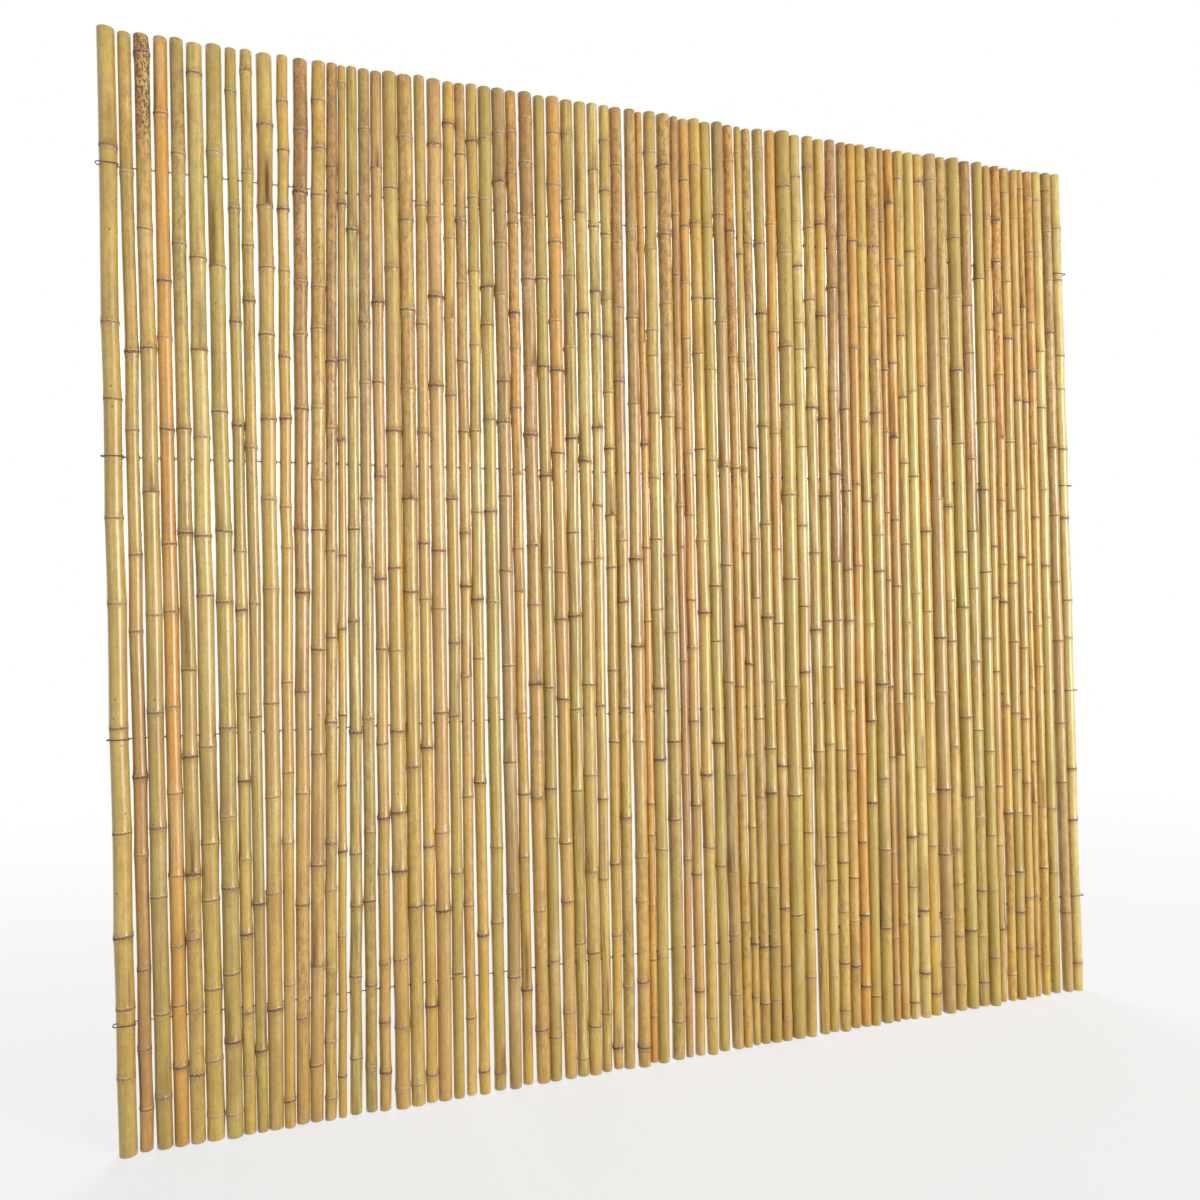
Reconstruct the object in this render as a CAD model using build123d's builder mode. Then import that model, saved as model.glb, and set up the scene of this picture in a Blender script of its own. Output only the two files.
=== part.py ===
from build123d import *
import os
import random

# Rolled bamboo fence, stood up and unrolled: a row of natural canes threaded on four galvanised wires.
# Millimetres. +X runs along the fence, +Z is up and the front faces -Y.
# The origin is on the ground, under the middle of the fence.

# The fence
HEIGHT = 1800.0                          # ground to the tallest cane tip
WIRE_HEIGHTS = {"wire_bottom": 209.0, "wire_lower": 661.0, "wire_upper": 1112.0, "wire_top": 1580.0}

# The canes, left to right, one letter each: n narrow, s slim, m medium, t thick and w widest
CANE_DIAMETERS = {"n": 14.2, "s": 19.1, "m": 22.2, "t": 25.0, "w": 27.6}
CANE_ROW = (
    "wstmmttsst" "smmsnssstt" "stsssmmstm" "mmmssmmnmt"
    "nsmmmsnsmm" "wmmmmmsmtn" "smmtwtwwts" "smsnsmmt"
)
DIAMETER_SCATTER = 0.8                   # a cane's diameter differs from its letter's by up to this
TAPER = (-0.12, 0.12)                    # share of the radius lost from foot to tip; half stand butt up
SIDES = 8                                # flats round a cane, two of them square to the wires
CUT_SCATTER = 4.0                        # foot and tip cuts differ by up to this, but for the end canes

# A culm changes direction a little at its nodes, here once between each two wires
KINK_SPREAD = 120.0                      # how far a kink may be from half-way between two wires
BOW = 1.2                                # sideways step at a kink or an end
SWAY = 1.2                               # step towards the front or back at a kink or an end
SWELL = 0.03                             # share by which the radius grows at a kink
LAYER_STEP = {"n": 0.4, "s": 0.8, "m": 1.2, "t": 1.4, "w": 1.6}   # how far a cane stands out of the row

# Lean along the fence: distance from the first cane, and how far the foot stands to the right of the tip
LEANS = (
    (0, 16), (150, 13), (185, 6), (235, -9), (285, -26), (320, -29), (345, -14), (400, -7), (430, 1), (530, -6),
    (610, 5), (690, 8), (790, 2), (860, -1), (960, 3), (1050, 13), (1120, 9), (1250, 3), (1330, 0), (1450, 4),
    (1590, 15), (1680, 5), (1790, 6), (1890, 28),
)
LEAN_SCATTER = 1.5                       # a cane's lean differs from its neighbours' by up to this

# Clear distance between two neighbours where they come nearest
NEAREST = (0.4, 1.6)
WIDE_GAPS = {1: 2.4, 6: 3.0, 28: 3.0, 36: 3.0, 39: 3.0, 52: 2.0, 77: 2.4}   # more room before these canes
SEED = 28

# Hollow of a cut tip, on the canes wide enough to be hollow there
WALL = 0.36                              # wall over radius
HOLLOW_DEPTH = 34.0
HOLLOW_LETTERS = "mtw"

# The wire and the hole drilled for it
WIRE_WIDTH = 1.8
WIRE_SIDES = 6
HOLE_WIDTH = 3.2
HOOK_REACH = 4.0                         # how far a wire stands out past an end cane before it turns back
HOOK_GAP = 0.6                           # clear distance between the hook and the cane it holds
HOOK_TUCK = 5.0                          # length of wire pushed into the gap behind the end cane


def between(points, place):
    """The value at a place along points given as (place, value), straight between two of them."""
    if place <= points[0][0]:
        return points[0][1]
    for (start, low), (end, high) in zip(points, points[1:]):
        if place <= end:
            return low + (high - low) * (place - start) / (end - start)
    return points[-1][1]


def grow_cane(letter, side, lean, scatter, rng):
    """One cane standing at x = 0, as its sections from foot to tip: (height, x, y, radius)."""
    radius = CANE_DIAMETERS[letter] / 2 + rng.uniform(-DIAMETER_SCATTER, DIAMETER_SCATTER) / 2
    taper = rng.uniform(*TAPER)
    layer = side * LAYER_STEP[letter]
    wires = sorted(WIRE_HEIGHTS.values())
    heights = [rng.uniform(0, scatter)]
    heights += [(low + high) / 2 + rng.uniform(-KINK_SPREAD, KINK_SPREAD) for low, high in zip(wires, wires[1:])]
    heights += [HEIGHT - rng.uniform(0, scatter)]
    sections = []
    for height in heights:
        upward = height / HEIGHT
        at_kink = height not in (heights[0], heights[-1])
        x = lean * (0.5 - upward) + rng.uniform(-BOW, BOW)
        y = layer + rng.uniform(-SWAY, SWAY)
        sections.append((height, x, y, radius * (1 + taper * (0.5 - upward) + SWELL * at_kink)))
    return sections


def edges(sections, way):
    """A cane's left (way -1) or right (way 1) edge, as (height, x) from foot to tip."""
    return [(height, x + way * radius) for height, x, y, radius in sections]


def nearest_place(left_cane, right_cane):
    """How far to the right of the left cane the right cane touches it."""
    left_edge, right_edge = edges(left_cane, 1), edges(right_cane, -1)
    heights = [height for height, x in left_edge + right_edge]
    return max(between(left_edge, height) - between(right_edge, height) for height in heights)


def lay_out_row():
    """Every cane in its place: sections of (height, x, y, radius), with the fence's middle at x = 0."""
    rng = random.Random(SEED)
    row, place, shift = [], 0.0, 0.0
    for number, letter in enumerate(CANE_ROW):
        side = 1 if number % 2 else -1
        scatter = 0.0 if number in (0, len(CANE_ROW) - 1) else CUT_SCATTER
        lean = between(LEANS, place) + rng.uniform(-LEAN_SCATTER, LEAN_SCATTER)
        cane = grow_cane(letter, side, lean, scatter, rng)
        if row:
            gap = rng.uniform(*NEAREST) + WIDE_GAPS.get(number, 0.0)
            shift += nearest_place(last, cane) + gap
            place = shift
        last = cane
        row.append([(height, x + shift, y, radius) for height, x, y, radius in cane])
    left = min(x for height, x in edges(row[0], -1))
    right = max(x for height, x in edges(row[-1], 1))
    middle = (left + right) / 2
    return [[(height, x - middle, y, radius) for height, x, y, radius in cane] for cane in row]


def cane_at(cane, height):
    """A cane's centre and radius at a height."""
    return [between([(section[0], section[value]) for section in cane], height) for value in (1, 2, 3)]


def build_cane(cane, letter):
    """One culm: flat-sided, bent and swollen at its kinks, drilled for the wires, hollow at a wide tip."""
    with BuildPart() as culm:
        for height, x, y, radius in cane:
            with BuildSketch(Plane((x, y, height))):
                RegularPolygon(radius, SIDES, major_radius=False, rotation=180 / SIDES)
        loft(ruled=True)
        if letter in HOLLOW_LETTERS:
            height, x, y, radius = cane[-1]
            with BuildSketch(Plane((x, y, height))):
                RegularPolygon(radius * (1 - WALL), SIDES, major_radius=False, rotation=180 / SIDES)
            extrude(amount=-HOLLOW_DEPTH, mode=Mode.SUBTRACT)
        for height in WIRE_HEIGHTS.values():
            x, y, radius = cane_at(cane, height)
            with Locations((x, 0, height)):
                Box(3 * radius, HOLE_WIDTH, HOLE_WIDTH, mode=Mode.SUBTRACT)
    return culm.part


def hook(end_cane, next_cane, height, way):
    """A wire's end past an end cane: round the cane's front and back into the gap beside it."""
    x, y, radius = cane_at(end_cane, height)
    next_x, next_y, next_radius = cane_at(next_cane, height)
    half = WIRE_WIDTH / 2
    out = x + way * (radius + HOOK_REACH)
    front = y - radius - HOOK_GAP - half
    gap = (x - way * radius + next_x + way * next_radius) / 2
    bevel = HOOK_REACH / 2
    return [
        (out - way * bevel, 0), (out, -bevel), (out, front + 2 * bevel), (out - way * 2 * bevel, front),
        (gap + way * bevel, front), (gap, front + bevel), (gap, front + bevel + HOOK_TUCK),
    ]


def build_wire(row, height):
    """One straight wire through every cane, hooked round the first and the last."""
    left = hook(row[0], row[1], height, -1)
    right = hook(row[-1], row[-2], height, 1)
    points = [(x, y, height) for x, y in left[::-1] + right]
    with BuildPart() as wire:
        with BuildLine() as route:
            Polyline(*points)
        with BuildSketch(Plane(route.line @ 0, z_dir=route.line % 0)):
            RegularPolygon(WIRE_WIDTH / 2, WIRE_SIDES, major_radius=False)
        sweep(transition=Transition.RIGHT)
    return wire.part


os.makedirs("parts", exist_ok=True)
row = lay_out_row()

# Canes go two to a file, side by side and clear of each other
for first in range(0, len(row), 2):
    with BuildPart() as pair:
        add(build_cane(row[first], CANE_ROW[first]))
        add(build_cane(row[first + 1], CANE_ROW[first + 1]))
    pair.part.label = f"canes_{first + 1:02d}_{first + 2:02d}"
    export_step(pair.part, f"parts/{pair.part.label}.step")

for name, height in WIRE_HEIGHTS.items():
    wire = build_wire(row, height)
    wire.label = name
    export_step(wire, f"parts/{name}.step")
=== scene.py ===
import math
import random

import bpy
import numpy as np
from mathutils import Matrix, Vector


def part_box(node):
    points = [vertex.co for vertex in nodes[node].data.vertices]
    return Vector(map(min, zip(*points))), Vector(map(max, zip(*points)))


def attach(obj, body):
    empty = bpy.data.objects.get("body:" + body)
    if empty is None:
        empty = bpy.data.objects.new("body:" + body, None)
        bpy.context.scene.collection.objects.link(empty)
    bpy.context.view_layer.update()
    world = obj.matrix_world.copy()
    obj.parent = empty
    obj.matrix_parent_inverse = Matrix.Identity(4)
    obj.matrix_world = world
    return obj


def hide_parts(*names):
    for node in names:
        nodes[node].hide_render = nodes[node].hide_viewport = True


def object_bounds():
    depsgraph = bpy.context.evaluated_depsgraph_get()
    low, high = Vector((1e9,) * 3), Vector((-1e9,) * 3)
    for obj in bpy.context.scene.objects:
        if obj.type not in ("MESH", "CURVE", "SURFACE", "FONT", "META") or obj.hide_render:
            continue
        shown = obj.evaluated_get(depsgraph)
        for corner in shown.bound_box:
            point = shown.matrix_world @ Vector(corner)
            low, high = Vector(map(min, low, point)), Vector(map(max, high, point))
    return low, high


# A rolled bamboo fence stood up: natural canes threaded on four wires. Metres, in the frame's own axes.
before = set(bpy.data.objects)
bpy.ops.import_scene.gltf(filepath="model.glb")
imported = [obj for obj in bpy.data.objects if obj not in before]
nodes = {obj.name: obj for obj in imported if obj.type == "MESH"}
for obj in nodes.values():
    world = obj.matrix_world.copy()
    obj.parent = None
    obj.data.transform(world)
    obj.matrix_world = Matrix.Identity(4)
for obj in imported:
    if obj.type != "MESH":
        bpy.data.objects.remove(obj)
CAD_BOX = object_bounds()
MM = 0.001

# What the photograph sets: where the camera stands and how it looks
CAMERA_PLACE = (-0.758, -1.791, 0.855)
CAMERA_YAW = 19.10                       # degrees from +Y towards +X
CAMERA_PITCH = 0.55                      # degrees up
CAMERA_ROLL = -0.93                      # degrees, clockwise seen from behind the camera
FOCAL_PIXELS = 1018.0
PICTURE_SIDE = 1200.0
SENSOR_WIDTH = 36.0

# Floor and surroundings
FLOOR_REACH = 14.0                       # from the middle of the floor to its edge
FLOOR_WHITE = 236                        # its own colour as on screen, 0 to 255
WHITE_FROM, WHITE_TO = 0.9, 3.6          # distances between which the floor turns to plain white
NEAR_WHITE = 0.7                         # share of plain white in the floor under the fence
ROOM_LIGHT = 0.34                        # strength of the light from all round

# Wires
WIRE_RADIUS = 0.0009
WIRE_SIDES = 12
HOOK_REACH = 0.004                       # how far a wire stands out past an end cane before it turns back
HOOK_GAP = 0.0006                        # clear distance between the hook and the cane it holds
HOOK_TUCK = 0.005                        # length of wire pushed into the gap behind the end cane
CORNER_CUT = 0.0022                      # how far from a bend its corner is cut

# Reading the frame
SAME_LEVEL = 2e-5                        # points nearer in height than this are on one level
CANE_FLATS = 8                           # sides of a culm in the frame
HOLE_ZONE = 5 * MM                       # levels this near a wire belong to its hole
HOLLOW_DEPTHS = (10 * MM, 60 * MM)       # a level this far under the tip is the floor of the hollow

# Culm mesh
SIDES = 24                               # faces round a cane
FILL_STEP = 0.034                        # longest face between two nodes
CLOSEST_RINGS = 0.3 * MM
EDGE_BREAK = 0.0005                      # worn edge of a saw cut
HOLE_RADIUS = 0.00165
HOLE_MARGIN = 5.5 * MM                   # distance from a wire to the rings above and below its hole
WIRE_ZONE = 0.004                        # this near a wire a culm is straight and its rings are level
SPARE_DEPTH = 0.0007                     # most that a node stands out past the frame's front or back
END_ROOM = 0.01                          # room beside the row's two end canes
# Steps up and round from the middle of a hole's mouth to the eight points of its rim
MOUTH = ((-1, -1), (-1, 0), (-1, 1), (0, 1), (1, 1), (1, 0), (1, -1), (0, -1))

# Where a culm's nodes are
SHORT_INTERNODE = 0.095                  # at the butt of a culm
LONG_INTERNODE = 0.245                   # at its thin end
PACE = (0.78, 1.22)                      # a culm's internodes, times the usual length
UNEVEN = (0.84, 1.16)                    # one internode, times its culm's
FIRST_NODE = (0.03, 0.13)                # distance from the butt to the first node
TIP_CLEAR = 0.030                        # no node nearer a saw cut than this
WIRE_CLEAR = 0.010                       # no node nearer a wire than this

# How a node looks
NODE_STEP = 0.0011                       # most that a culm steps aside at a node, where there is room
DEPTH_STEP = 0.0006                      # the same towards the front or back
NODE_TILT = 0.0013                       # most that a node ring dips on one side
TILT_REACH = 0.011                       # distance over which that dip fades
KNOBBY_SHARE = 0.16                      # share of the nodes that stand out more than the rest
KNOBBY_OUT = (1.4, 2.0)                  # how far a knobby node stands out, times the profile below
PLAIN_OUT = (0.55, 1.25)                 # how far any other node does
# Profile of a node: height above the scar in millimetres and how far the skin stands out there
NODE_PROFILE = (
    (-22.0, 0.00), (-11.0, 0.18), (-5.5, 0.38), (-2.6, 0.56), (-1.3, 0.84), (-0.5, 0.86), (0.1, 0.26),
    (0.6, 0.22), (1.3, 0.64), (2.3, 0.92), (3.8, 0.80), (6.8, 0.44), (12.0, 0.20), (22.0, 0.00),
)

# Grooves that branches left above some nodes, with a bud stub on each side of the groove's root
BRANCH_SHARE = 0.36                      # share of the plain nodes that have one
GROOVE_LENGTH = (0.03, 0.14)
GROOVE_DARKNESS = (0.1, 0.8)
GROOVE_DEPTH = 0.055                     # share of the radius
GROOVE_WIDTH = 0.42                      # radians
GROOVE_DRIFT = 0.15                      # radians by which a groove leaves its culm's branch side
STUB_OUT = 0.0010
STUB_RISE = 0.0022                       # height of a stub above the node
STUB_LENGTH = 0.0016
STUB_WIDTH = 0.16                        # radians
STUB_SIDES = (-0.28, 0.25)               # radians from the middle of the groove
# Marks that show from the front: cane, height of its node in millimetres, length of the groove and how dark
FRONT_MARKS = (
    (5, 1292.0, 118.0, 0.55), (8, 1762.0, 14.0, 0.5), (9, 1540.0, 104.0, 1.0), (17, 1628.0, 34.0, 0.8),
)
FRONT_SIDE = 0.25 - math.pi / 2          # a little to the right of the front
MARK_DEPTH = 0.12                        # share of the radius

# Cut ends of a culm: share of its width that is hollow, and how deep
HOLLOW_SHARE = 0.62                      # the frame says how deep
WIDE_RADIUS = 0.0075
WIDE_END = (0.5, 0.004)                  # an end without a hollow in the frame, on a wide culm
NARROW_END = (0.3, 0.0012)               # and on a narrow one

# Tones of a cane's skin, as colours of the light tan, olive and brown skins seen along the row
TONES = {
    "straw": (199, 168, 82), "pale": (208, 184, 106), "olive": (182, 157, 74), "green": (186, 163, 76),
    "gold": (202, 164, 70), "orange": (210, 156, 68), "tan": (199, 161, 82), "pink": (206, 166, 96),
    "brown": (185, 141, 74), "mauve": (182, 149, 84),
}
# Each cane from left to right: tone at the foot, tone at the tip and how mottled it is, 0 to 9
SKINS = (
    "straw straw 1, brown straw 2, olive tan 9, orange orange 0, straw olive 5, straw pale 1, olive green 1,"
    "straw green 1, olive straw 3, tan straw 1, gold gold 1, tan brown 7, tan gold 4, straw brown 7,"
    "gold gold 1, green green 1, olive mauve 6, tan pink 1, tan straw 1, straw tan 4,"
    "gold tan 2, pink pink 1, green gold 1, tan tan 4, gold straw 1, green green 0, mauve mauve 3,"
    "gold orange 5, tan brown 5, olive olive 1, tan orange 1, green olive 1, straw straw 1, straw pale 1,"
    "gold straw 1, straw brown 6, tan mauve 5, orange orange 2, green straw 1, olive tan 6,"
    "brown brown 3, tan orange 1, straw gold 1, green green 0, mauve mauve 1, gold orange 6,"
    "straw straw 1, tan tan 6, olive olive 2, tan orange 1, green olive 1, straw pale 1, straw straw 1,"
    "straw gold 1, straw brown 6, tan mauve 5, orange orange 1, green straw 1, olive tan 5,"
    "brown brown 3, tan orange 1, pale straw 1, pale pale 0, gold gold 1, mauve mauve 2, straw tan 4,"
    "green green 1, olive brown 5, green green 0, tan tan 1, gold orange 6, olive tan 1, tan tan 1,"
    "gold tan 3, gold orange 5, green pale 0, mauve mauve 5, pale pale 1"
)
MOST_MOTTLED = 9
SPECKLED_TIP = 2                         # the cane whose tip is speckled all over
# Canes with a ribbed skin, and how strongly
RIBBED = {8: 0.35, 13: 0.5, 15: 1.0, 19: 0.3, 31: 1.0, 33: 0.8, 44: 0.5, 52: 1.0, 61: 0.9, 67: 0.6, 73: 0.6}

# Each cane's random draws start from one of these plus its number
THICKNESS_SEED = 0
TINT_SEED = 300
DRIFT_SEED = 500
SPOT_SEED = 700
SHADE_SEED = 900
SHAPE_SEED = 1000
NODE_SEED = 2000


def linear(red, green, blue):
    """A colour given as on screen, 0 to 255, in the linear numbers that a shader takes."""
    return tuple(
        ((c / 255 + 0.055) / 1.055) ** 2.4 if c > 10 else c / 255 / 12.92
        for c in (red, green, blue)
    )


def blend(low, high, share):
    return low + (high - low) * share


def ease(value, start, end):
    """0 before start, 1 after end and a soft step between them."""
    share = np.clip((value - start) / (end - start), 0.0, 1.0)
    return share * share * (3 - 2 * share)


def smooth_noise(places, seed, pitch):
    """A smooth random curve along a line, -1 to 1, changing over about the pitch."""
    rng = np.random.default_rng(seed)
    cells = places / pitch
    first = np.floor(cells).astype(int)
    values = rng.uniform(-1, 1, first.max() - first.min() + 3)
    share = ease(cells - first, 0, 1)
    start = first - first.min()
    return values[start] * (1 - share) + values[start + 1] * share


def turned(angle, side):
    """The turn from a side of the culm to an angle, -pi to pi."""
    return (angle - side + math.pi) % (2 * math.pi) - math.pi


# Reading the canes from the frame

def separate_solids(mesh):
    """The mesh's points as one array for each of its separate solids, left to right."""
    points = np.round([vertex.co[:] for vertex in mesh.vertices], 6)
    unique, same = np.unique(points, axis=0, return_inverse=True)
    same = same.ravel()
    parent = list(range(len(unique)))

    def root(i):
        while parent[i] != i:
            parent[i] = parent[parent[i]]
            i = parent[i]
        return i

    for edge in mesh.edges:
        a, b = (root(same[vertex]) for vertex in edge.vertices)
        parent[a] = b
    roots = np.array([root(i) for i in range(len(unique))])
    solids = [unique[roots == r] for r in np.unique(roots)]
    return sorted(solids, key=lambda solid: solid[:, 0].mean())


def culm_sections(solid, wire_heights):
    """A culm's sections from foot to tip as rows of (height, x, y, radius), and the depth of its hollow."""
    tip = solid[:, 2].max()
    hollow = 0.0
    rows = []
    for height in np.unique(np.round(solid[:, 2], 5)):
        level = solid[np.abs(solid[:, 2] - height) < SAME_LEVEL]
        from_wire = min(abs(height - wire) for wire in wire_heights)
        if len(level) < CANE_FLATS or from_wire < HOLE_ZONE:
            continue
        if HOLLOW_DEPTHS[0] < tip - height < HOLLOW_DEPTHS[1]:
            hollow = tip - height
            continue
        low, high = level.min(axis=0), level.max(axis=0)
        rows.append((height, (low[0] + high[0]) / 2, (low[1] + high[1]) / 2, (high[0] - low[0]) / 2))
    return np.array(rows), hollow


def room_beside(sections, neighbour, way, heights):
    """Clear distance at each height from a culm to its neighbour on one side."""
    if neighbour is None:
        return np.full(len(heights), END_ROOM)
    own = np.interp(heights, sections[:, 0], sections[:, 1] + way * sections[:, 3])
    other = np.interp(heights, neighbour[:, 0], neighbour[:, 1] - way * neighbour[:, 3])
    return way * (other - own)


# Heights along a culm

def node_heights(number, sections, wire_heights):
    """Heights of a culm's nodes: close together at its butt and far apart at its thin end."""
    rng = random.Random(NODE_SEED + number)
    foot, tip = sections[0, 0], sections[-1, 0]
    butt_up = sections[-1, 3] > sections[0, 3]
    length = tip - foot
    pace = rng.uniform(*PACE)
    place = rng.uniform(*FIRST_NODE)
    heights = []
    while place < length - TIP_CLEAR:
        heights.append(tip - place if butt_up else foot + place)
        step = blend(SHORT_INTERNODE, LONG_INTERNODE, min(place / length, 1.0) ** 0.8)
        place += step * pace * rng.uniform(*UNEVEN)
    heights.sort()

    # The nearest node moves to each kink and each marked node
    marked = [mark[1] * MM for mark in FRONT_MARKS if mark[0] == number]
    for kink in list(sections[1:-1, 0]) + marked:
        nearest = min(range(len(heights)), key=lambda i: abs(heights[i] - kink))
        heights[nearest] = kink

    spread = []
    for height in heights:
        for wire in wire_heights:
            if abs(height - wire) < WIRE_CLEAR:
                height = wire + math.copysign(WIRE_CLEAR, height - wire)
        spread.append(height)
    return np.array(sorted(spread))


def level_heights(sections, knots, wire_heights):
    """All heights at which the culm gets a ring of points."""
    foot, tip = sections[0, 0], sections[-1, 0]
    fixed = [foot, foot + EDGE_BREAK, tip - EDGE_BREAK, tip]
    fixed += [wire + offset for wire in wire_heights for offset in (-HOLE_RADIUS, 0.0, HOLE_RADIUS)]
    heights = set(fixed)
    heights.update(wire + offset for wire in wire_heights for offset in (-HOLE_MARGIN, HOLE_MARGIN))
    heights.update(knot + offset * MM for knot in knots for offset, out in NODE_PROFILE)
    kept = sorted(height for height in heights if foot <= height <= tip)

    # Of two rings that are too close, a fixed one stays
    held = {round(height, 7) for height in fixed}
    apart = [kept[0]]
    for height in kept[1:]:
        if height - apart[-1] >= CLOSEST_RINGS:
            apart.append(height)
        elif round(height, 7) in held:
            apart[-1] = height

    filled = []
    for low, high in zip(apart, apart[1:]):
        filled.append(low)
        extra = int((high - low) / FILL_STEP)
        filled += [low + (high - low) * (k + 1) / (extra + 1) for k in range(extra)]
    filled.append(apart[-1])
    return np.array(filled)


# One culm

class Culm:
    """A culm with its nodes, kinks, branch scars, drilled holes and cut ends, built up step by step."""

    def __init__(self, number, culms, all_knots, wire_heights):
        self.number = number
        self.sections, self.hollow = culms[number]
        self.knots = all_knots[number]
        self.wire_heights = wire_heights
        self.rng = random.Random(SHAPE_SEED + number)
        self.heights = level_heights(self.sections, self.knots, wire_heights)
        self.levels = len(self.heights)
        self.foot, self.tip = self.sections[0, 0], self.sections[-1, 0]
        self.upward = (self.heights - self.foot) / (self.tip - self.foot)
        self.angle = 2 * math.pi * np.arange(SIDES) / SIDES

        # Each level's nearest node, and how far the level is above it
        self.nearest = np.abs(self.heights[:, None] - self.knots[None, :]).argmin(axis=1)
        self.from_node = self.heights - self.knots[self.nearest]

        # The sections and the nodes of the culm on each side, or nothing at the row's ends
        self.beside = {1: (None, None), -1: (None, None)}
        for way in self.beside:
            if 0 <= number + way < len(culms):
                self.beside[way] = (culms[number + way][0], all_knots[number + way])

        self.scar = np.zeros((self.levels, SIDES))
        # Painted shade round each drilled hole's mouth, 0 to 1, set on the rim's points
        self.hole_shade = np.zeros((self.levels, SIDES))
        self.left_out = set()
        self.skin_faces, self.cut_faces, self.bore_faces = [], [], []

    def build(self, foot_tone, tip_tone, mottle):
        """The finished culm as an object."""
        self.lay_axis()
        self.shape_skin()
        self.add_branches()
        self.keep_clear()
        self.place_rings()
        for wire in self.wire_heights:
            self.drill(wire)
        self.cover()
        self.cut_end(0, False)
        self.cut_end(self.levels - 1, True)
        return self.make_object(foot_tone, tip_tone, mottle)

    def from_frame(self, column):
        """A column of the frame's sections, 1 for x, 2 for y and 3 for the radius, at every level."""
        return np.interp(self.heights, self.sections[:, 0], self.sections[:, column])

    def lay_axis(self):
        """The frame's axis, with a small step aside at each node that the neighbours leave room for."""
        steps_x, steps_y = [], []
        for k in range(len(self.knots)):
            way = 1 if (k + self.number) % 2 else -1
            room = room_beside(self.sections, self.beside[way][0], way, self.knots[k:k + 1])[0]
            reach = min(NODE_STEP, 0.35 * max(room - 0.0003, 0))
            steps_x.append(way * reach * self.rng.uniform(0.3, 1.0))
            steps_y.append(self.rng.uniform(-DEPTH_STEP, DEPTH_STEP))
        stops = np.concatenate(([self.foot], self.knots, [self.tip]))
        self.aside = np.interp(self.heights, stops, np.r_[0, steps_x, 0])
        self.axis_x = self.from_frame(1) + self.aside
        self.axis_y = self.from_frame(2) + np.interp(self.heights, stops, np.r_[0, steps_y, 0])
        for wire in self.wire_heights:
            near = np.abs(self.heights - wire) < WIRE_ZONE
            self.axis_x[near] = np.interp(wire, self.heights, self.axis_x)
            self.axis_y[near] = np.interp(wire, self.heights, self.axis_y)

    def shape_skin(self):
        """Each node stands out by its own amount, and the skin draws in a little between nodes."""
        self.knobby = [self.rng.random() < KNOBBY_SHARE for knot in self.knots]
        prominence = [self.rng.uniform(*(KNOBBY_OUT if knob else PLAIN_OUT)) for knob in self.knobby]
        profile = np.array(NODE_PROFILE)
        out = np.interp(self.from_node, profile[:, 0] * MM, profile[:, 1] * MM)
        out = out * np.array(prominence)[self.nearest]
        radius = self.from_frame(3)
        radius = radius + 0.020 * radius - 0.010 * radius * ease(np.abs(self.from_node), 0.02, 0.075)
        self.radius = radius + 0.0001 * smooth_noise(self.heights, THICKNESS_SEED + self.number, 0.06)
        squash = 1 + 0.018 * np.cos(2 * (self.angle - self.rng.uniform(0, math.pi)))
        self.shape = self.radius[:, None] * squash[None, :] + out[:, None]

    def add_branches(self):
        """The branch side of a culm turns over at each node, and some nodes have a groove above them."""
        marks = [mark for mark in FRONT_MARKS if mark[0] == self.number]
        facing = self.rng.uniform(0, 2 * math.pi)
        for k, knot in enumerate(self.knots):
            side = facing + math.pi * (k % 2) + self.rng.uniform(-GROOVE_DRIFT, GROOVE_DRIFT)
            has_branch = self.rng.random() < BRANCH_SHARE or self.knobby[k]
            length = self.rng.uniform(*GROOVE_LENGTH)
            darkness = self.rng.uniform(*GROOVE_DARKNESS)
            depth = GROOVE_DEPTH
            for cane, height, mark_length, mark_darkness in marks:
                if abs(height * MM - knot) < 0.002:
                    has_branch, side, depth = True, FRONT_SIDE, MARK_DEPTH
                    length, darkness = mark_length * MM, mark_darkness
            if has_branch:
                self.add_branch(knot, side, length, darkness, depth)

    def add_branch(self, knot, side, length, darkness, depth):
        """A groove above a node that fades upwards, and the bud stubs at its root."""
        over = self.heights - knot
        along = np.where(over > 0, ease(over, 0.0, 0.003) * (1 - ease(over, length * 0.5, length)), 0.0)
        across = np.exp(-(turned(self.angle, side) / GROOVE_WIDTH) ** 2)
        dent = along[:, None] * across[None, :]
        self.shape -= depth * self.radius[:, None] * dent
        self.scar = np.maximum(self.scar, dent * darkness)
        for lean in STUB_SIDES:
            along = np.exp(-((over - STUB_RISE) / STUB_LENGTH) ** 2)
            across = np.exp(-(turned(self.angle, side + lean) / STUB_WIDTH) ** 2)
            stub = along[:, None] * across[None, :]
            self.shape += STUB_OUT * stub
            self.scar = np.maximum(self.scar, 0.8 * stub)

    def keep_clear(self):
        """Nothing that stands out reaches the neighbours. Where their nodes are near, both stand out less."""
        base = self.from_frame(3)
        for way, (neighbour, their_knots) in self.beside.items():
            share = np.full(self.levels, 0.8)
            if neighbour is not None:
                from_theirs = np.abs(self.heights[:, None] - their_knots[None, :]).min(axis=1)
                share = 0.45 + 0.35 * ease(from_theirs, 0.012, 0.02)
            room = room_beside(self.sections, neighbour, way, self.heights) - way * self.aside
            room = np.maximum(share * room - 0.00005, 0.00002)
            away = np.clip(1 - way * np.cos(self.angle), 0, 1)[None, :] * base[:, None]
            self.shape = np.minimum(self.shape, base[:, None] + room[:, None] + away)
        self.shape[[0, -1]] -= EDGE_BREAK * 0.8

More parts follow.
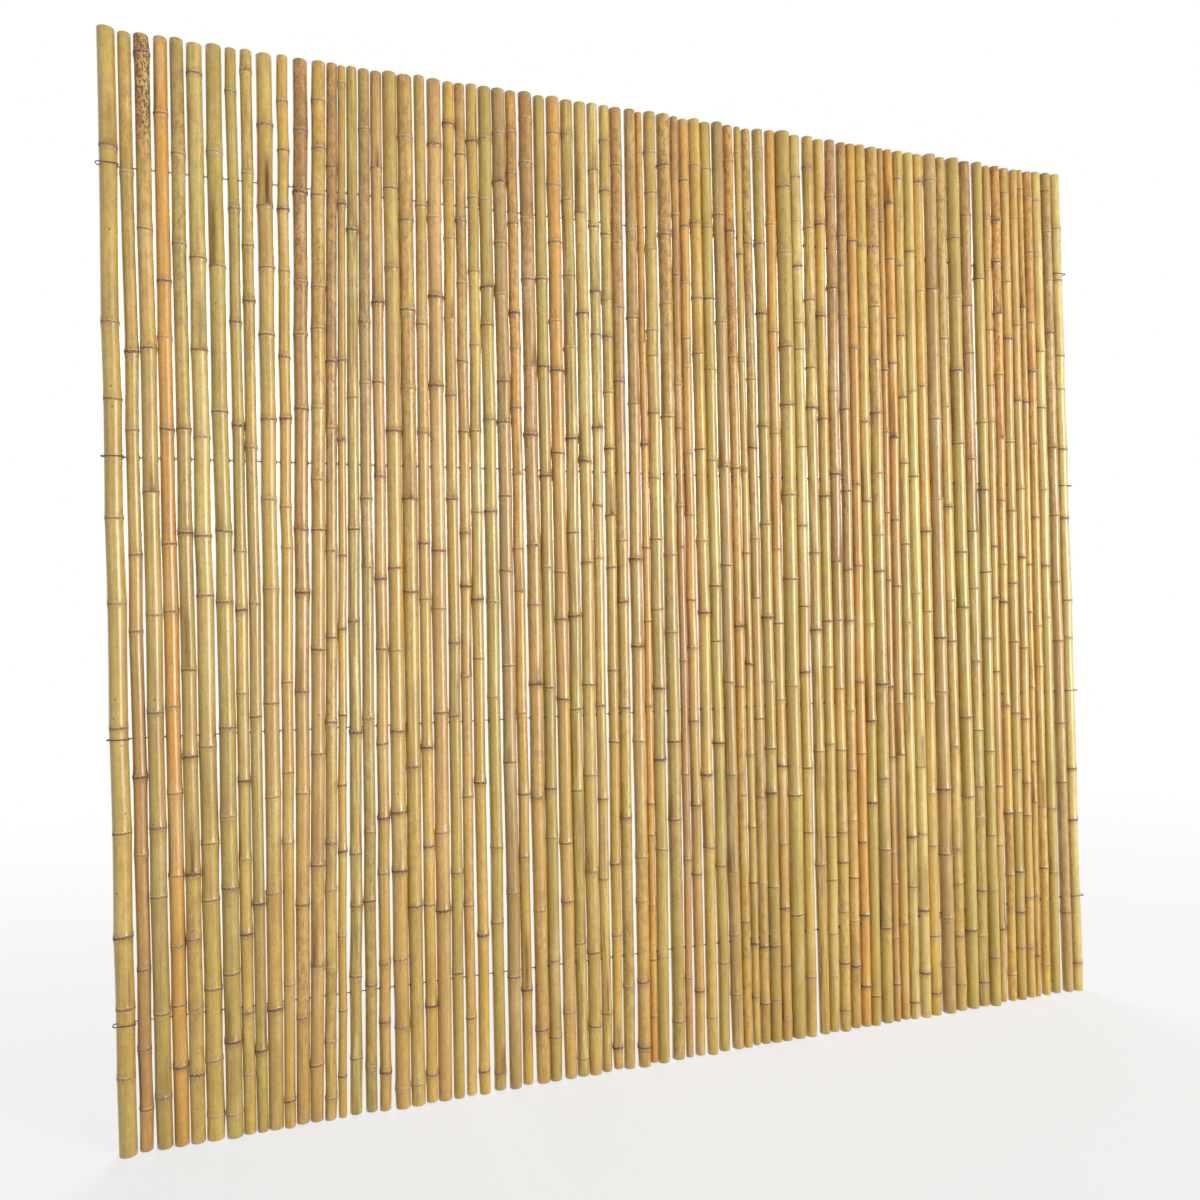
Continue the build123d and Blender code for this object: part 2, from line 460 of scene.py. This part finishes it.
    def place_rings(self):
        """The rings of points. A node's ring is seldom square to its culm."""
        tilt = np.array([self.rng.uniform(0.1, 1.0) * NODE_TILT for knot in self.knots])[self.nearest]
        tilt = tilt * np.exp(-(self.from_node / TILT_REACH) ** 2)
        dip = np.array([self.rng.uniform(0, 2 * math.pi) for knot in self.knots])[self.nearest]
        rise = tilt[:, None] * np.cos(self.angle[None, :] - dip[:, None])
        for wire in self.wire_heights:
            rise[np.abs(self.heights - wire) < WIRE_ZONE] = 0.0
        x = self.axis_x[:, None] + self.shape * np.cos(self.angle)
        y = self.axis_y[:, None] + self.shape * np.sin(self.angle)
        y = np.clip(y, CAD_BOX[0][1] - SPARE_DEPTH, CAD_BOX[1][1] + SPARE_DEPTH)
        self.ring = np.stack([x, y, self.heights[:, None] + rise], axis=2)
        self.points = list(map(tuple, self.ring.reshape(-1, 3)))

    def drill(self, wire):
        """The hole for a wire: a round mouth on each side of the culm and the bore between them."""
        level = int(np.abs(self.heights - wire).argmin())
        right, left = (self.open_mouth(wire, level, side) for side in (1, -1))

        # The two rims run opposite ways, so their points are matched by where they stand round the wire
        standing = {self.bearing(index, wire): index for index in left}
        across = [standing[self.bearing(index, wire)] for index in right]
        for k in range(len(MOUTH)):
            after = (k + 1) % len(MOUTH)
            self.bore_faces.append((right[k], across[k], across[after], right[after]))

    def open_mouth(self, wire, level, side):
        """Draws the nearest points of the skin to a hole's rim and leaves out the faces inside it."""
        radius = self.radius[level]
        centre_x, centre_y = self.axis_x[level], self.axis_y[level]
        towards = math.asin(max(-1, min(1, -centre_y / radius)))
        towards = towards if side == 1 else math.pi - towards
        column = round(towards / (2 * math.pi) * SIDES) % SIDES
        self.left_out.update((row, col % SIDES) for row in (level - 1, level) for col in (column - 1, column))
        rim = []
        for up, over in MOUTH:
            row, col = level + up, (column + over) % SIDES
            spin = math.atan2(up, over)
            y = HOLE_RADIUS * math.cos(spin) * side
            z = wire + HOLE_RADIUS * math.sin(spin)
            across = radius ** 2 - (y - centre_y) ** 2
            x = centre_x + side * math.sqrt(max(across, (0.3 * radius) ** 2))
            self.points[row * SIDES + col] = (x, y, z)
            # The rim's points carry painted shade, which darkens the skin round the hole's mouth
            self.hole_shade[row, col] = 1.0
            rim.append(row * SIDES + col)
        return rim

    def bearing(self, index, wire):
        """Where a point stands round a wire, in whole degrees."""
        x, y, z = self.points[index]
        return round(math.degrees(math.atan2(z - wire, y)))

    def cover(self):
        """The skin's faces, all but those inside the holes."""
        for row in range(self.levels - 1):
            low, high = row * SIDES, (row + 1) * SIDES
            for col in range(SIDES):
                if (row, col) not in self.left_out:
                    after = (col + 1) % SIDES
                    self.skin_faces.append((low + col, low + after, high + after, high + col))

    def cut_end(self, row, upright):
        """A saw cut: the wall's end, the hollow's wall and the floor of the hollow."""
        outward = 1 if upright else -1
        height = self.heights[row]
        share, depth = WIDE_END if self.radius[row] > WIDE_RADIUS else NARROW_END
        if upright and self.hollow:
            share, depth = HOLLOW_SHARE, self.hollow
        skin = row * SIDES
        lip = self.add_ring(row, share, height)
        inner = self.add_ring(row, share * 0.97, height - outward * 0.3 * MM)
        floor = self.add_ring(row, share * 0.9, height - outward * depth)
        dish = self.add_ring(row, share * 0.45, height - outward * (depth + MM * share))
        self.join(skin, lip, self.cut_faces, upright)
        self.join(lip, inner, self.cut_faces, upright)
        self.join(inner, floor, self.bore_faces, upright)
        self.join(floor, dish, self.bore_faces, upright)
        centre = len(self.points)
        middle = self.ring[row].mean(axis=0)
        self.points.append((middle[0], middle[1], height - outward * (depth + 1.1 * MM * share)))
        for col in range(SIDES):
            face = (dish + col, dish + (col + 1) % SIDES, centre)
            self.bore_faces.append(face if upright else face[::-1])

    def add_ring(self, row, share, height):
        """A smaller copy of a ring at a height. Gives the number of its first point."""
        first = len(self.points)
        centre = self.ring[row].mean(axis=0)
        for col in range(SIDES):
            x = centre[0] + (self.ring[row, col, 0] - centre[0]) * share
            y = centre[1] + (self.ring[row, col, 1] - centre[1]) * share
            self.points.append((x, y, height))
        return first

    def join(self, start, end, group, upright):
        """Faces from one ring to the next."""
        for col in range(SIDES):
            after = (col + 1) % SIDES
            face = (start + col, start + after, end + after, end + col)
            group.append(face if upright else face[::-1])

    def make_object(self, foot_tone, tip_tone, mottle):
        """The mesh, without the points inside the holes' mouths, which belong to no face."""
        faces = self.skin_faces + self.cut_faces + self.bore_faces
        slots = [0] * len(self.skin_faces) + [1] * len(self.cut_faces) + [2] * len(self.bore_faces)
        used = sorted({index for face in faces for index in face})
        place_of = {old: new for new, old in enumerate(used)}
        mesh = bpy.data.meshes.new(f"cane_{self.number + 1:02d}")
        renumbered = [tuple(place_of[index] for index in face) for face in faces]
        mesh.from_pydata([self.points[index] for index in used], [], renumbered)
        mesh.polygons.foreach_set("material_index", slots)
        mesh.polygons.foreach_set("use_smooth", [slot == 0 for slot in slots])
        self.paint(mesh, np.array(used), self.tones(foot_tone, tip_tone), self.spots(mottle))
        mesh.update()
        return bpy.data.objects.new(mesh.name, mesh)

    def tones(self, foot_tone, tip_tone):
        """The skin's colour at each level, a little different in each internode."""
        drift = self.upward + 0.16 * smooth_noise(self.heights, DRIFT_SEED + self.number, 0.25)
        low, high = (np.array(linear(*TONES[tone])) for tone in (foot_tone, tip_tone))
        colour = blend(low, high, ease(np.clip(drift, 0, 1), 0.25, 0.8)[:, None])
        colour = colour * (1 + 0.07 * smooth_noise(self.heights, SHADE_SEED + self.number, 0.11))[:, None]
        rng = np.random.default_rng(TINT_SEED + self.number)
        internodes = len(self.knots) + 1
        tint = 1 + rng.normal(0, 0.035, (internodes, 1)) + rng.normal(0, 0.012, (internodes, 3))
        return colour * tint[np.searchsorted(self.knots, self.heights)]

    def spots(self, mottle):
        """How mottled the culm is at each level, most of all towards its tip."""
        if self.number == SPECKLED_TIP:
            return 1 - ease(1 - self.upward, 0.07, 0.13) + 0.25 * ease(self.upward, 0.5, 0.9)
        patchy = 0.5 * smooth_noise(self.heights, SPOT_SEED + self.number, 0.12)
        return mottle / MOST_MOTTLED * np.clip(ease(self.upward, 0.45, 0.9) + 0.25 + patchy, 0, 1)

    def paint(self, mesh, used, tones, spots):
        """The attributes that the skin's shader reads."""
        node_dark = [1.0 if knob else self.rng.uniform(0.1, 0.95) for knob in self.knobby]
        node_halo = [1.0 if knob else self.rng.random() ** 2 for knob in self.knobby]
        attributes = {
            "node_gap": np.abs(self.from_node)[:, None],
            "node_side": np.clip(self.from_node / (0.4 * MM), -1, 1)[:, None],
            "mottle": spots[:, None],
            "scar": self.scar,
            # painted shade round the holes' mouths
            "hole_shade": self.hole_shade,
            "node_dark": np.array(node_dark)[self.nearest, None],
            "node_halo": np.array(node_halo)[self.nearest, None],
            "rib": RIBBED.get(self.number, 0.0),
        }
        on_skin = used < self.levels * SIDES
        for name, amount in attributes.items():
            values = np.zeros(len(used), dtype=np.float32)
            values[on_skin] = np.broadcast_to(amount, (self.levels, SIDES)).ravel()[used[on_skin]]
            mesh.attributes.new(name, "FLOAT", "POINT").data.foreach_set("value", values)
        colours = np.ones((len(used), 4), dtype=np.float32)
        colours[:, :3] = tones[np.minimum(used // SIDES, self.levels - 1)]
        mesh.attributes.new("skin", "FLOAT_COLOR", "POINT").data.foreach_set("color", colours.ravel())


# Materials

class Tree:
    """A small help to write a material's node tree line by line."""

    def __init__(self, name, roughness, specular=0.5, metallic=0.0):
        self.material = bpy.data.materials.new(name)
        self.material.use_nodes = True
        self.nodes = self.material.node_tree.nodes
        self.links = self.material.node_tree.links
        self.shader = self.nodes["Principled BSDF"]
        self.shader.inputs["Roughness"].default_value = roughness
        self.shader.inputs["Specular IOR Level"].default_value = specular
        self.shader.inputs["Metallic"].default_value = metallic

    def node(self, kind, settings=None, **inputs):
        made = self.nodes.new(kind)
        for key, value in (settings or {}).items():
            setattr(made, key, value)
        for key, value in inputs.items():
            self.feed(made.inputs[key], value)
        return made

    def feed(self, socket, value):
        if isinstance(value, bpy.types.NodeSocket):
            self.links.new(value, socket)
        else:
            socket.default_value = value

    def read(self, name, output="Fac"):
        return self.node("ShaderNodeAttribute", {"attribute_name": name}).outputs[output]

    def place(self):
        """The point's own place on the object."""
        return self.nodes.new("ShaderNodeTexCoord").outputs["Object"]

    def maths(self, operation, a, b=0.0, clamp=False):
        made = self.node("ShaderNodeMath", {"operation": operation, "use_clamp": clamp})
        self.feed(made.inputs[0], a)
        self.feed(made.inputs[1], b)
        return made.outputs[0]

    def plus(self, a, b, clamp=False):
        return self.maths("ADD", a, b, clamp)

    def minus(self, a, b, clamp=False):
        return self.maths("SUBTRACT", a, b, clamp)

    def times(self, a, b, clamp=False):
        return self.maths("MULTIPLY", a, b, clamp)

    def larger(self, a, b):
        return self.maths("MAXIMUM", a, b)

    def step(self, value, start, end, low=0.0, high=1.0):
        """From low at the start to high at the end in a soft step."""
        made = self.node("ShaderNodeMapRange", {"interpolation_type": "SMOOTHSTEP"})
        sockets = ("Value", "From Min", "From Max", "To Min", "To Max")
        for socket, amount in zip(sockets, (value, start, end, low, high)):
            self.feed(made.inputs[socket], amount)
        return made.outputs["Result"]

    def noise(self, scale, stretch=1.0, detail=2.0, rough=0.5, shift=0.0):
        """Noise over the object's own coordinates, drawn out along the canes by the stretch."""
        drawn = self.node("ShaderNodeMapping", Vector=self.place())
        drawn.inputs["Scale"].default_value = (1.0, 1.0, 1.0 / stretch)
        drawn.inputs["Location"].default_value = (shift, shift * 1.7, shift * 0.6)
        made = self.node("ShaderNodeTexNoise", Vector=drawn.outputs["Vector"])
        made.inputs["Scale"].default_value = scale
        made.inputs["Detail"].default_value = detail
        made.inputs["Roughness"].default_value = rough
        return made.outputs["Fac"]

    def mix(self, share, a, b, blend_type="MIX"):
        made = self.node("ShaderNodeMix", {"data_type": "RGBA", "blend_type": blend_type})
        self.feed(made.inputs["Factor"], share)
        for socket, value in ((made.inputs[6], a), (made.inputs[7], b)):
            self.feed(socket, value if isinstance(value, bpy.types.NodeSocket) else (*value, 1.0))
        return made.outputs[2]

    def colour(self, value):
        self.feed(self.shader.inputs["Base Color"], value)

    def bump(self, height, distance, strength=1.0):
        made = self.node("ShaderNodeBump", Height=height)
        made.inputs["Strength"].default_value = strength
        made.inputs["Distance"].default_value = distance
        self.links.new(made.outputs["Normal"], self.shader.inputs["Normal"])


def fibre_colour(t, colour, grain, sand, rib):
    """Broad patches of bleached and darker skin, fine fibre and streaks along the culm, and a sandy grain."""
    patches = t.noise(24.0, 3.5, 2.0, 0.55)
    colour = t.mix(t.step(patches, 0.52, 0.74, 0.0, 0.35), colour, linear(222, 198, 140))
    colour = t.mix(t.step(patches, 0.48, 0.28, 0.0, 0.38), colour, linear(163, 121, 54))
    fibre = t.noise(800.0, 60.0, 2.0, 0.6)
    colour = t.mix(1.0, colour, t.mix(fibre, (0.84, 0.82, 0.76), (1.10, 1.10, 1.12)), "MULTIPLY")
    streak = t.times(t.step(grain, 0.5, 0.66), t.plus(0.28, t.times(rib, 0.5)))
    colour = t.mix(streak, colour, linear(146, 112, 56))
    bright = t.times(t.step(grain, 0.44, 0.32), t.plus(0.12, t.times(rib, 0.5)))
    colour = t.mix(bright, colour, linear(226, 206, 150))
    sandy = t.mix(t.step(sand, 0.3, 0.7), (0.85, 0.83, 0.76), (1.10, 1.10, 1.10))
    return t.mix(1.0, colour, sandy, "MULTIPLY")


def mottled_colour(t, colour, sand):
    """Tan clouds, dark speckles and freckles by how mottled the culm is. Gives the speckles' share too."""
    mottle = t.read("mottle")
    clouds = t.noise(90.0, 1.8, 3.0, 0.62, 7.7)
    cloudy = t.times(t.step(clouds, 0.46, 0.62), t.plus(t.times(mottle, 0.8), 0.07), True)
    colour = t.mix(cloudy, colour, linear(150, 106, 58))

    limit = t.minus(0.76, t.times(mottle, 0.22))
    speckle = t.step(t.minus(t.noise(300.0, 1.7, 2.0, 0.62, 1.3), limit), 0.0, 0.07)
    stain = t.mix(t.step(mottle, 0.6, 0.95), linear(122, 80, 46), linear(84, 54, 46))
    colour = t.mix(t.times(speckle, t.step(mottle, 0.5, 1.0, 0.72, 0.95)), colour, stain)

    freckles = t.times(t.step(sand, 0.53, 0.60), t.step(clouds, 0.42, 0.58, 0.15, 1.0))
    freckles = t.times(freckles, t.plus(0.36, t.times(mottle, 0.6)), True)
    return t.mix(freckles, colour, linear(126, 84, 44)), speckle


def dotted_colour(t, colour):
    """Small lone dots on every cane."""
    cells = t.node("ShaderNodeTexVoronoi", {"feature": "F1"}, Vector=t.place(), Scale=70.0)
    chosen = t.node("ShaderNodeSeparateColor", Color=cells.outputs["Color"]).outputs
    size = t.step(chosen["Green"], 0.0, 1.0, 0.05, 0.14)
    inside = t.maths("LESS_THAN", cells.outputs["Distance"], size)
    dot = t.times(inside, t.step(chosen["Red"], 0.5, 0.54))
    return t.mix(t.times(dot, 0.7), colour, linear(104, 66, 42))


def node_colour(t, colour, gap):
    """A brown halo above and below a node, pale waxy bands beside its scar and the scar's dark line."""
    node_dark, node_halo = t.read("node_dark"), t.read("node_halo")
    ragged = t.noise(420.0, 0.6, 2.0, 0.6, 5.5)
    soft = t.times(t.step(gap, 0.014, 0.002), t.step(ragged, 0.3, 0.66, 0.15, 0.95))
    halo = t.times(soft, t.plus(0.16, t.times(node_halo, 0.52)))
    colour = t.mix(halo, colour, linear(132, 90, 50))

    below = t.step(t.read("node_side"), 0.0, -0.9)
    wax = t.times(t.minus(1.0, t.times(below, 0.35)), t.step(gap, 0.0052, 0.0024))
    wax = t.times(wax, t.step(ragged, 0.68, 0.32, 0.15, 0.7))
    colour = t.mix(wax, colour, linear(214, 192, 144))

    line = t.times(t.step(gap, 0.0031, 0.0009), t.step(ragged, 0.22, 0.6, 0.35, 1.0))
    line = t.times(line, t.plus(0.22, t.times(node_dark, 0.62)))
    colour = t.mix(line, colour, linear(124, 92, 58))
    core = t.times(t.step(gap, 0.0012, 0.0003), t.step(ragged, 0.3, 0.6, 0.2, 1.0))
    colour = t.mix(t.times(core, node_dark), colour, linear(96, 68, 46))
    smudge = t.times(t.step(gap, 0.006, 0.0014), t.step(ragged, 0.42, 0.60))
    return t.mix(t.times(smudge, t.times(node_halo, 0.8)), colour, linear(100, 70, 54))


def skin_material():
    """Dried bamboo skin: fibre, patches, speckles, rings at the nodes, scars, and painted shade round the
    drilled holes.
    """
    t = Tree("bamboo_skin", 0.4, 0.4)
    gap, rib = t.read("node_gap"), t.read("rib")
    grain = t.noise(270.0, 24.0, 2.0, 0.5, 3.1)
    sand = t.noise(330.0, 1.5, 2.0, 0.7, 9.2)
    colour = fibre_colour(t, t.read("skin", "Color"), grain, sand, rib)
    colour, speckle = mottled_colour(t, colour, sand)
    colour = dotted_colour(t, colour)
    colour = node_colour(t, colour, gap)

    # Branch scars, and painted shade round the mouths of the drilled holes
    scar = t.times(t.read("scar"), t.step(grain, 0.35, 0.6, 0.7, 1.15), True)
    colour = t.mix(scar, colour, linear(96, 60, 26))
    # Painted shade darkens the skin round the drilled holes' mouths
    t.colour(t.mix(t.times(t.read("hole_shade"), 0.85), colour, linear(58, 42, 30)))

    # Speckles, scars and nodes are duller, and scars and nodes have lost the skin's natural gloss
    rough = t.plus(t.step(grain, 0.3, 0.7, 0.33, 0.44), t.times(t.step(gap, 0.006, 0.001), 0.25))
    t.feed(t.shader.inputs["Roughness"], t.plus(rough, t.times(t.larger(speckle, scar), 0.3), True))
    bare = t.larger(scar, t.step(gap, 0.004, 0.001))
    t.feed(t.shader.inputs["Coat Weight"], t.times(0.8, t.minus(1.0, bare, True)))
    t.shader.inputs["Coat Roughness"].default_value = 0.3
    t.bump(t.times(grain, t.plus(0.5, t.times(rib, 2.5))), 0.00022, 0.7)
    return t.material


def cut_material():
    """Sawn end of the wall: pale wood dotted with dark fibre bundles, and darker in patches."""
    t = Tree("bamboo_cut", 0.75, 0.25)
    bundles = t.noise(1400.0, 1.0, 1.0, 0.5)
    colour = t.mix(t.step(bundles, 0.52, 0.66), linear(206, 176, 128), linear(128, 92, 60))
    saw = t.noise(160.0, 1.0, 3.0, 0.6, 4.0)
    t.colour(t.mix(t.step(saw, 0.4, 0.7, 0.0, 0.45), colour, linear(168, 134, 92)))
    t.bump(bundles, 0.0002, 0.7)
    return t.material


def bore_material():
    """Inside of the culm and of the drilled holes: dull brown fibre."""
    t = Tree("bamboo_inside", 0.85, 0.2)
    fibre = t.noise(700.0, 25.0, 2.0, 0.6)
    t.colour(t.mix(fibre, linear(120, 88, 56), linear(186, 152, 104)))
    t.bump(fibre, 0.0003, 0.6)
    return t.material


def wire_material():
    """Galvanised wire, dulled in patches."""
    t = Tree("galvanised_wire", 0.42, 0.5, 0.9)
    spangle = t.noise(500.0, 1.0, 3.0, 0.6)
    dull = t.noise(45.0, 1.0, 2.0, 0.5, 2.0)
    colour = t.mix(spangle, linear(72, 72, 71), linear(120, 120, 118))
    t.colour(t.mix(t.step(dull, 0.45, 0.7, 0.0, 0.6), colour, linear(54, 51, 47)))
    t.feed(t.shader.inputs["Roughness"], t.step(dull, 0.3, 0.7, 0.34, 0.6))
    t.bump(spangle, 0.00008, 0.5)
    return t.material


# Wires

def hook_route(end_culm, next_culm, height, way):
    """A wire's end past an end cane, as in the frame: round its front and back into the gap beside it."""
    x, y, radius = (np.interp(height, end_culm[:, 0], end_culm[:, k]) for k in (1, 2, 3))
    next_x, next_radius = (np.interp(height, next_culm[:, 0], next_culm[:, k]) for k in (1, 3))
    out = x + way * (radius + HOOK_REACH)
    front = y - radius - HOOK_GAP - WIRE_RADIUS
    gap = (x - way * radius + next_x + way * next_radius) / 2
    bevel = HOOK_REACH / 2
    return [
        (out - way * bevel, 0), (out, -bevel), (out, front + 2 * bevel), (out - way * 2 * bevel, front),
        (gap + way * bevel, front), (gap, front + bevel), (gap, front + bevel + HOOK_TUCK),
    ]


def rounded(route):
    """The route with its corners cut twice, which leaves a smooth bend at each."""
    for again in range(2):
        cut = [route[0]]
        for a, b in zip(route, route[1:]):
            run_x, run_y = b[0] - a[0], b[1] - a[1]
            share = min(0.25, CORNER_CUT / math.hypot(run_x, run_y))
            cut.append((a[0] + run_x * share, a[1] + run_y * share))
            cut.append((b[0] - run_x * share, b[1] - run_y * share))
        route = cut + [route[-1]]
    return route


def build_wire(name, culms):
    """A round drawn wire along the frame's wire, with smooth hooks and cut ends."""
    low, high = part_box(name)
    height = (low[2] + high[2]) / 2
    left = hook_route(culms[0][0], culms[1][0], height, -1)
    right = hook_route(culms[-1][0], culms[-2][0], height, 1)
    route = rounded(left[::-1] + right)
    points, faces = [], []
    for i, (x, y) in enumerate(route):
        before, after = route[max(i - 1, 0)], route[min(i + 1, len(route) - 1)]
        run_x, run_y = after[0] - before[0], after[1] - before[1]
        length = math.hypot(run_x, run_y)
        for k in range(WIRE_SIDES):
            spin = 2 * math.pi * k / WIRE_SIDES
            aside, up = WIRE_RADIUS * math.cos(spin), WIRE_RADIUS * math.sin(spin)
            points.append((x - run_y / length * aside, y + run_x / length * aside, height + up))
    for i in range(len(route) - 1):
        start, end = i * WIRE_SIDES, (i + 1) * WIRE_SIDES
        for k in range(WIRE_SIDES):
            after = (k + 1) % WIRE_SIDES
            faces.append((start + k, start + after, end + after, end + k))
    last = len(points) - WIRE_SIDES
    faces.append(tuple(range(WIRE_SIDES))[::-1])
    faces.append(tuple(range(last, last + WIRE_SIDES)))
    mesh = bpy.data.meshes.new("round_" + name)
    mesh.from_pydata(points, [], faces)
    mesh.polygons.foreach_set("use_smooth", [len(face) == 4 for face in faces])
    mesh.update()
    return bpy.data.objects.new(mesh.name, mesh)


# Floor, light and camera

def add_object(thing):
    bpy.context.scene.collection.objects.link(thing)
    return thing


def floor_material():
    """White far off, and near the fence a pale grey that keeps the fence's shadow."""
    t = Tree("studio_floor", 0.9, 0.1)
    t.colour((*linear(FLOOR_WHITE, FLOOR_WHITE, FLOOR_WHITE), 1.0))
    glow = t.node("ShaderNodeEmission", Strength=1.0)
    path = t.nodes.new("ShaderNodeLightPath").outputs
    seen = t.larger(path["Is Camera Ray"], t.larger(path["Is Glossy Ray"], path["Is Transmission Ray"]))
    distance = t.node("ShaderNodeVectorMath", {"operation": "LENGTH"}, Vector=t.place()).outputs["Value"]
    mixed = t.nodes.new("ShaderNodeMixShader")
    t.feed(mixed.inputs["Fac"], t.times(seen, t.step(distance, WHITE_FROM, WHITE_TO, NEAR_WHITE, 1.0)))
    t.links.new(t.shader.outputs[0], mixed.inputs[1])
    t.links.new(glow.outputs[0], mixed.inputs[2])
    t.links.new(mixed.outputs[0], t.nodes["Material Output"].inputs["Surface"])
    return t.material


def build_floor():
    mesh = bpy.data.meshes.new("studio_floor")
    corners = [(x * FLOOR_REACH, y * FLOOR_REACH, 0) for x, y in ((-1, -1), (1, -1), (1, 1), (-1, 1))]
    mesh.from_pydata(corners, [], [(0, 1, 2, 3)])
    floor = add_object(bpy.data.objects.new("studio_floor", mesh))
    floor.data.materials.append(floor_material())


def area_light(name, place, target, size, watts):
    light = bpy.data.lights.new(name, "AREA")
    light.shape = "RECTANGLE"
    light.size, light.size_y = size
    light.energy = watts
    holder = add_object(bpy.data.objects.new(name, light))
    holder.location = place
    holder.rotation_euler = (Vector(target) - Vector(place)).to_track_quat("-Z", "Y").to_euler()


def build_world():
    """Soft light from all round, and plain white where the camera or a reflection looks past the fence."""
    world = bpy.data.worlds.new("studio")
    bpy.context.scene.world = world
    world.use_nodes = True
    tree = world.node_tree
    back = tree.nodes["Background"]
    path = tree.nodes.new("ShaderNodeLightPath").outputs
    seen = path["Is Camera Ray"]
    for ray in ("Is Glossy Ray", "Is Transmission Ray"):
        either = tree.nodes.new("ShaderNodeMath")
        either.operation = "MAXIMUM"
        tree.links.new(seen, either.inputs[0])
        tree.links.new(path[ray], either.inputs[1])
        seen = either.outputs[0]
    level = tree.nodes.new("ShaderNodeMapRange")
    level.inputs["To Min"].default_value = ROOM_LIGHT
    level.inputs["To Max"].default_value = 1.0
    tree.links.new(seen, level.inputs["Value"])
    tree.links.new(level.outputs["Result"], back.inputs["Strength"])
    back.inputs["Color"].default_value = (1, 1, 1, 1)


def build_camera():
    camera = bpy.data.cameras.new("camera")
    camera.sensor_fit = "HORIZONTAL"
    camera.sensor_width = SENSOR_WIDTH
    camera.lens = FOCAL_PIXELS / PICTURE_SIDE * SENSOR_WIDTH
    camera.clip_start = 0.01
    holder = add_object(bpy.data.objects.new("camera", camera))
    yaw, pitch, roll = (math.radians(v) for v in (CAMERA_YAW, CAMERA_PITCH, CAMERA_ROLL))
    forward = Vector((math.sin(yaw) * math.cos(pitch), math.cos(yaw) * math.cos(pitch), math.sin(pitch)))
    level_right = forward.cross(Vector((0, 0, 1))).normalized()
    level_up = level_right.cross(forward)
    right = level_right * math.cos(roll) + level_up * math.sin(roll)
    up = level_up * math.cos(roll) - level_right * math.sin(roll)
    aim = Matrix((right, up, -forward)).transposed().to_4x4()
    holder.matrix_world = Matrix.Translation(CAMERA_PLACE) @ aim
    bpy.context.scene.camera = holder


# Scene

wire_names = [name for name in nodes if name.startswith("wire_")]
wire_heights = sorted((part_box(name)[0][2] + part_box(name)[1][2]) / 2 for name in wire_names)

culms, homes = [], []
for name in sorted(name for name in nodes if name.startswith("canes_")):
    for solid in separate_solids(nodes[name].data):
        culms.append(culm_sections(solid, wire_heights))
        homes.append(name)
all_knots = [node_heights(number, sections, wire_heights) for number, (sections, hollow) in enumerate(culms)]

cane_materials = (skin_material(), cut_material(), bore_material())
for number, (home, entry) in enumerate(zip(homes, SKINS.split(","))):
    foot_tone, tip_tone, mottle = entry.split()
    culm = Culm(number, culms, all_knots, wire_heights)
    cane = add_object(culm.build(foot_tone, tip_tone, int(mottle)))
    for material in cane_materials:
        cane.data.materials.append(material)
    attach(cane, "root")
    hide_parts(home)

galvanised = wire_material()
for name in wire_names:
    thread = add_object(build_wire(name, culms))
    thread.data.materials.append(galvanised)
    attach(thread, "root")
    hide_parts(name)

build_floor()
area_light("key", (3.0, -4.4, 1.2), (0.0, 0, 0.75), (1.7, 2.3), 258.0)
area_light("fill", (-3.0, -3.4, 1.4), (0, 0, 0.8), (1.6, 2.6), 18.0)
area_light("back", (0.4, 3.2, 2.0), (0, 0, 0.9), (2.5, 1.6), 95.0)
build_world()
build_camera()
bpy.context.scene.view_settings.view_transform = "Standard"
